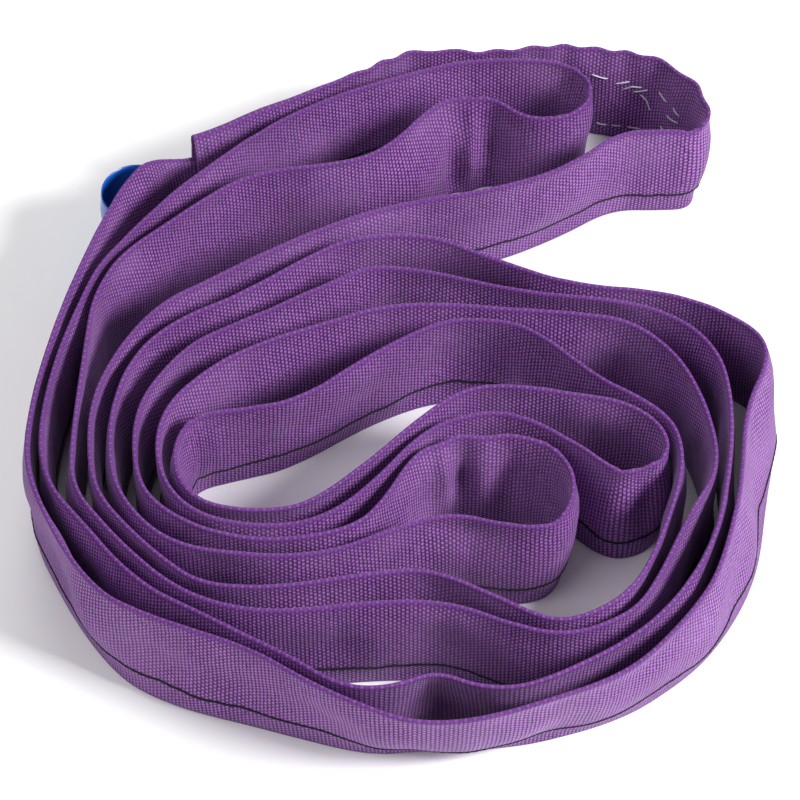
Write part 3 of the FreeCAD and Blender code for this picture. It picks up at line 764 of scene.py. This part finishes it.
def grid_piece(name, rings, along, around, material, closed):
    """A mesh piece from rings of places, with its flat places in the UV map. closed joins the last ring to
    the first; otherwise both ends are capped."""
    count, size = rings.shape[:2]
    last = count if closed else count - 1
    faces = []
    for k in range(last):
        for j in range(size):
            here, there = k * size, (k + 1) % count * size
            faces.append((here + j, here + (j + 1) % size, there + (j + 1) % size, there + j))
    caps = [] if closed else [tuple(range(size))[::-1], tuple(range((count - 1) * size, count * size))]
    mesh = bpy.data.meshes.new(name)
    mesh.from_pydata(rings.reshape(-1, 3).tolist(), [], faces + caps)
    uv = mesh.uv_layers.new(name="cloth")
    values = []
    for k in range(last):
        for j in range(size):
            u, next_u = along[k], along[k + 1]
            v, next_v = around[j], around[j + 1]
            values += [u, v, u, next_v, next_u, next_v, next_u, v]
    for cap in caps:
        values += [0.0, 0.0] * len(cap)
    uv.data.foreach_set("uv", np.array(values, np.float32))
    mesh.polygons.foreach_set("use_smooth", [True] * len(mesh.polygons))
    mesh.materials.append(material)
    mesh.update()
    piece = bpy.data.objects.new(name, mesh)
    bpy.context.collection.objects.link(piece)
    return piece


def ring_arrays(along):
    return np.broadcast_arrays(np.asarray(along)[:, None], RING_SHARE[None], RING_SIDE[None])


def make_sleeve():
    """One endless tube: out of the cuff's mouth, round the loop, over itself at the cuff, and turned in."""
    tail_at = np.linspace(-LIP_DEPTH, -0.0008, 8)
    outer_at = stations()
    tail = sleeve_surface(*ring_arrays(tail_at + LENGTH), tail=True)
    body = sleeve_surface(*ring_arrays(outer_at[:-1]))
    mouth = sleeve_surface(*ring_arrays([LENGTH - 0.0006]))
    lip = sleeve_surface(*ring_arrays([LENGTH - 1e-6]), inset=WALL * 0.45)
    lining_at = np.array([LENGTH - 0.0006, LENGTH - 0.004, LENGTH - 0.008, LENGTH - LIP_DEPTH])
    lining = sleeve_surface(*ring_arrays(lining_at), inset=WALL)
    rings = np.concatenate([tail, body, mouth, lip, lining])
    flat = np.concatenate([tail_at, outer_at[:-1], [LENGTH, LENGTH + 0.0006], 2 * LENGTH - lining_at])
    flat = np.append(flat, flat[-1] + 0.002)
    around = np.append(RING_AROUND, 2 * WIDTH)
    sleeve = grid_piece("sleeve", rings, flat, around, violet_weave(), closed=True)
    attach(sleeve, "sling")
    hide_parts(*[node for node in nodes if node.startswith("sleeve_")])


def on_face(along, share, side):
    """Places on the sleeve, and the way its surface looks there."""
    side = np.broadcast_to(side, np.shape(along)).astype(float)
    reach = 0.0006
    here = sleeve_surface(along, share, side)
    rise = reach / WIDTH
    on = sleeve_surface(along + reach, share, side) - sleeve_surface(along - reach, share, side)
    up = sleeve_surface(along, share + rise, side) - sleeve_surface(along, share - rise, side)
    out = np.cross(up, on) * side[:, None]
    out /= np.linalg.norm(out, axis=1, keepdims=True)
    on /= np.linalg.norm(on, axis=1, keepdims=True)
    return here, on, out


def make_tracer():
    """The black yarn on the right-hand face. It swells and thins every two yarns, always in sight."""
    along = np.linspace(0.0004, LENGTH - 0.0012, TRACER_STATIONS)
    share = (TRACER_HEIGHT + 0.00045 * wander(along, along * 0, 0.0045, 1, 91)) / WIDTH
    here, on, out = on_face(along, share, -1)
    up = np.cross(on, out)
    swell = np.abs(np.sin(np.pi * along / (2 * ALONG_PITCH)))
    proud = TRACER_PROUD + TRACER_SWELL * swell
    half = TRACER_WIDTH / 2 * (0.82 + 0.18 * swell)
    section = [(-1, -0.2), (-0.6, 0.8), (0, 1), (0.6, 0.8), (1, -0.2), (0, -1.6)]
    rings = np.stack(
        [here + up * (half * a)[:, None] + out * (proud * b)[:, None] for a, b in section], axis=1
    )
    across = np.linspace(0, 2 * TRACER_WIDTH, len(section) + 1)
    tracer = grid_piece("tracer_yarn", rings, along, across, black_tracer(), closed=False)
    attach(tracer, "sling")
    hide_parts("tracer_yarn")


def make_band(name, margin, gap, along, material):
    """A band inside the sleeve: margin is its share kept from the folds, and gap is from the faces."""
    shares = np.array([margin, 0.15, 0.3, 0.5, 0.7, 0.85, 1 - margin])
    share = np.concatenate([shares, shares[::-1]])
    side = np.concatenate([-np.ones(len(shares)), np.ones(len(shares))])
    grids = np.broadcast_arrays(along[:, None], share[None], side[None])
    pinched = 1 - smoothstep(np.abs(from_mouth(grids[0])), MOUTH_REACH, MOUTH_REACH + 0.008)
    rings = sleeve_surface(*grids, inset=gap + 0.002 * pinched)
    closed = along[-1] - along[0] > LENGTH * 0.9
    across = np.linspace(0, 2 * WIDTH, len(share) + 1)
    flat = np.append(along, along[-1] + 0.002)
    band = grid_piece(name, rings, flat, across, material, closed)
    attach(band, "sling")
    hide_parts(name)


def threads_piece(name, runs, radius, material, replaced):
    """Lengths of thread. Each run is an array of places, and its ends are drawn in."""
    places, faces, values = [], [], []
    for run in runs:
        way = np.gradient(run, axis=0)
        way /= np.linalg.norm(way, axis=1, keepdims=True)
        side = np.cross(way, [0.13, 0.21, 0.97])
        side /= np.linalg.norm(side, axis=1, keepdims=True)
        other = np.cross(way, side)
        count = len(run)
        taper = np.sqrt(np.clip(1 - np.abs(np.linspace(-1, 1, count)) ** 8, 0.04, 1))
        at = np.concatenate([[0], np.cumsum(np.linalg.norm(np.diff(run, axis=0), axis=1))])
        base = len(places)
        for k in range(count):
            for j in range(THREAD_SIDES):
                angle = 2 * math.pi * j / THREAD_SIDES
                arm = side[k] * math.cos(angle) + other[k] * math.sin(angle)
                places.append(run[k] + arm * radius * taper[k])
        for k in range(count - 1):
            here = base + k * THREAD_SIDES
            on = here + THREAD_SIDES
            for j in range(THREAD_SIDES):
                beside = (j + 1) % THREAD_SIDES
                faces.append((here + j, here + beside, on + beside, on + j))
                v, w = j / THREAD_SIDES * 0.001, (j + 1) / THREAD_SIDES * 0.001
                values += [at[k], v, at[k], w, at[k + 1], w, at[k + 1], v]
        last = base + (count - 1) * THREAD_SIDES
        for end in (range(base, base + THREAD_SIDES), range(last, last + THREAD_SIDES)):
            faces.append(tuple(end) if end.start else tuple(end)[::-1])
            values += [0.0, 0.0] * THREAD_SIDES
    mesh = bpy.data.meshes.new(name)
    mesh.from_pydata([tuple(p) for p in places], [], faces)
    uv = mesh.uv_layers.new(name="cloth")
    uv.data.foreach_set("uv", np.array(values, np.float32))
    mesh.polygons.foreach_set("use_smooth", [True] * len(mesh.polygons))
    mesh.materials.append(material)
    mesh.update()
    piece = bpy.data.objects.new(name, mesh)
    bpy.context.collection.objects.link(piece)
    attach(piece, "sling")
    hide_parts(replaced)


def make_cuff_stitches():
    thread = twisted("violet_thread", (0.045, 0.006, 0.085), (0.13, 0.03, 0.21))
    for number, inset in enumerate(CUFF_ROWS, start=1):
        runs = []
        for side in (-1, 1):
            for low in np.arange(STITCH_MARGIN, WIDTH - STITCH_MARGIN - STITCH_LENGTH, STITCH_PITCH):
                share = np.linspace(low, low + STITCH_LENGTH, 7) / WIDTH
                here, _, out = on_face(np.full(7, LENGTH - inset), share, side)
                arch = STITCH_ARCH * np.sin(np.linspace(0, np.pi, 7)) - 0.00012
                runs.append(here + out * arch[:, None])
        name = f"cuff_stitch_row_{number}"
        threads_piece(name, runs, THREAD_RADIUS, thread, name)


# Seam threads on the left-hand face of bight B: for each stitch, the distance back from the cuff's
# mouth and the height at each of its points. A calculation from the photo, rounded.
SEAM_STITCHES = {
    "seam_thread_upper": [
        [(0.176, 0.0355), (0.183, 0.034)],
        [(0.186, 0.031), (0.192, 0.033)],
        [(0.189, 0.0275), (0.193, 0.0305), (0.1975, 0.031)],
        [(0.1935, 0.027), (0.200, 0.0305)],
        [(0.1965, 0.0265), (0.2, 0.0245), (0.202, 0.020)],
        [(0.205, 0.0325), (0.211, 0.031)],
        [(0.2155, 0.031), (0.2195, 0.028)],
        [(0.212, 0.0245), (0.2193, 0.0243)],
        [(0.208, 0.0155), (0.213, 0.015)],
    ],
    "seam_thread_lower": [
        [(0.179, 0.0068), (0.184, 0.0066)],
        [(0.1855, 0.0068), (0.190, 0.0073)],
        [(0.192, 0.007), (0.1985, 0.0077)],
    ],
}


def make_seam_threads():
    thread = twisted("pale_thread", (0.42, 0.42, 0.48), (0.85, 0.85, 0.90), pitch=0.0009)
    for name, stitches in SEAM_STITCHES.items():
        runs = []
        for stitch in stitches:
            back, height = np.array(stitch).T
            t = np.linspace(0, 1, 15)
            knots = np.linspace(0, 1, len(stitch))
            along = LENGTH - np.interp(t, knots, back)
            share = np.interp(t, knots, height) / WIDTH
            here, _, out = on_face(along, share, 1)
            lift = 0.0006 * np.sin(np.pi * t) ** 0.6 - 0.0002
            runs.append(here + out * lift[:, None])
        threads_piece(name, runs, SEAM_RADIUS, thread, name)


# Label: a curled tab, sewn by one edge to the outer face just past the cuff's mouth.
LABEL_HEIGHT = 0.042
LABEL_LIFT = 0.002
LABEL_HEM = 0.009
LABEL_GAP = 0.0018
LABEL_LENGTH = 0.036
LABEL_CURL = 0.014
LABEL_LEAD = math.radians(55)
LABEL_THICKNESS = 0.0007
LABEL_ROWS = 18


def make_label():
    joint = next(j for j in frame["record"]["behaviour"]["joints"] if j["name"] == "label_swing")
    hinge = np.array(joint["pos_m"])[:2]
    low, high = (np.array(corner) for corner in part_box("label_hem"))
    hem_at = ((low + high) / 2)[:2]
    along = (hinge - hem_at) / np.linalg.norm(hinge - hem_at)
    outward = np.array([along[1], -along[0]])
    places = on_route(line_at)[:, :2]
    hinge_at = line_at[np.argmin(np.hypot(*(places - hinge).T))]
    heights = np.linspace(0, 1, LABEL_ROWS)
    share = (LABEL_LIFT + LABEL_HEIGHT * heights) / WIDTH

    # The hem lies on the sleeve; the flap starts square to it and bends round to the free edge.
    middles = []
    for step in np.linspace(LABEL_HEM, 0, 7):
        spots, _, out = on_face(np.full(LABEL_ROWS, hinge_at - step), share, -1)
        middles.append(spots + out * LABEL_THICKNESS * 0.62)
    edge = middles[-1]
    for step in np.linspace(0.0007, LABEL_LENGTH + LABEL_GAP, 44):
        if step < LABEL_GAP:
            lead = step * (along * math.cos(LABEL_LEAD) + outward * math.sin(LABEL_LEAD))
        else:
            bent = (step - LABEL_GAP) / LABEL_CURL
            lead = LABEL_GAP * (along * math.cos(LABEL_LEAD) + outward * math.sin(LABEL_LEAD))
            lead = lead + LABEL_CURL * (
                along * (math.sin(LABEL_LEAD) - math.sin(LABEL_LEAD - bent))
                + outward * (math.cos(LABEL_LEAD - bent) - math.cos(LABEL_LEAD))
            )
        ripple = 0.0004 * np.sin(3.3 * heights + step * 90) * smoothstep(step, 0, 0.02)
        row = edge + np.append(lead, 0)
        row = row + np.append(outward, 0) * ripple[:, None]
        row[:, 2] = edge[:, 2] + 0.0006 * math.sin(step * 95)
        middles.append(row)
    middles = np.array(middles)
    on = np.gradient(middles, axis=0)
    up = np.gradient(middles, axis=1)
    out = np.cross(on, up)
    out /= np.linalg.norm(out, axis=2, keepdims=True)
    thick = np.full(middles.shape[:2], LABEL_THICKNESS / 2)
    thick[:, [0, -1]] *= 0.3
    thick[[0, -1]] *= 0.4
    rings = np.concatenate(
        [middles - out * thick[..., None], (middles + out * thick[..., None])[:, ::-1]], axis=1
    )
    at = np.concatenate([[0], np.cumsum(np.linalg.norm(np.diff(middles[:, 0], axis=0), axis=1))])
    across = np.concatenate([heights, heights[::-1], [0]]) * LABEL_HEIGHT
    label = grid_piece("label", rings, np.append(at, at[-1]), across, blue_label(), closed=False)
    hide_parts("label_hem", "label_flap")
    end = hinge + along * 0.003
    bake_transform(label)
    make_label_stitches(hinge_at - LABEL_HEM / 2)


def make_label_stitches(middle):
    thread = twisted("label_thread", (0.01, 0.04, 0.22), (0.05, 0.14, 0.50))
    runs = []
    for low in np.arange(0.003, LABEL_HEIGHT - 0.006, STITCH_PITCH):
        share = (LABEL_LIFT + low + np.linspace(0, STITCH_LENGTH, 7)) / WIDTH
        spots, _, out = on_face(np.full(7, middle), share, -1)
        arch = LABEL_THICKNESS * 1.1 + STITCH_ARCH * np.sin(np.linspace(0, np.pi, 7))
        runs.append(spots + out * arch[:, None])
    threads_piece("label_stitches", runs, THREAD_RADIUS, thread, "label_stitches")


# Studio ------------------------------------------------------------------------------------------


def make_floor():
    mesh = bpy.data.meshes.new("floor")
    half = 4
    corners = [(-half, -half, 0), (half, -half, 0), (half, half, 0), (-half, half, 0)]
    mesh.from_pydata(corners, [], [(0, 1, 2, 3)])
    paper = Finish("paper", specular_ior_level=0.1)
    grain = paper.noise(60, 2)
    paper.feed(
        base_color=paper.mix(grain, (0.93, 0.93, 0.935), (0.96, 0.96, 0.96)),
        roughness=0.8 + grain * 0.1,
    )
    mesh.materials.append(paper.material)
    floor = bpy.data.objects.new("floor", mesh)
    bpy.context.collection.objects.link(floor)
    floor.location.z = -0.0002


def make_light(name, place, aim, size, power):
    data = bpy.data.lights.new(name, "AREA")
    data.shape = "SQUARE"
    data.size = size
    data.energy = power
    light = bpy.data.objects.new(name, data)
    light.location = place
    light.rotation_euler = (Vector(aim) - Vector(place)).to_track_quat("-Z", "Y").to_euler()
    bpy.context.collection.objects.link(light)


def make_studio():
    make_floor()
    make_light("key", (1.15, -0.5, 1.05), (0, 0, 0), 0.45, 36)
    make_light("fill", (-0.9, -0.7, 1.1), (0, 0, 0), 1.0, 8)
    make_light("back", (-0.2, 1.3, 1.1), (0, 0, 0), 0.9, 10)
    world = bpy.data.worlds.new("studio")
    world.use_nodes = True
    sky = world.node_tree.nodes["Background"]
    sky.inputs["Color"].default_value = (1, 1, 1, 1)
    sky.inputs["Strength"].default_value = 0.32
    bpy.context.scene.world = world
    bpy.context.scene.view_settings.view_transform = "Standard"


def make_camera():
    data = bpy.data.cameras.new("camera")
    data.sensor_width = SENSOR
    data.lens = LENS
    camera = bpy.data.objects.new("camera", data)
    angle = math.radians(CAMERA_ELEVATION)
    back = Vector((0, -math.cos(angle), math.sin(angle))) * CAMERA_DISTANCE
    camera.location = Vector(CAMERA_AIM) + back
    camera.rotation_euler = (math.pi / 2 - angle, 0, 0)
    bpy.context.collection.objects.link(camera)
    bpy.context.scene.camera = camera


make_camera()
make_studio()
make_sleeve()
make_tracer()
make_band(
    "load_core", 0.07, 0.0013, np.arange(0, LENGTH - 0.002, 0.003),
    twisted("core_yarn", (0.62, 0.62, 0.58), (0.88, 0.88, 0.84)),
)
tape_low, tape_high = (np.array(corner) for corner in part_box("core_splice_tape"))
tape_places = on_route(coarse_at)[:, :2] - ((tape_low + tape_high) / 2)[:2]
tape_middle = coarse_at[np.argmin(np.hypot(*tape_places.T))]
make_band(
    "core_splice_tape", 0.068, 0.00108, tape_middle + np.linspace(-0.02, 0.02, 21),
    twisted("core_tape", (0.55, 0.55, 0.50), (0.75, 0.75, 0.70), 0.3),
)
make_cuff_stitches()
make_seam_threads()
make_label()
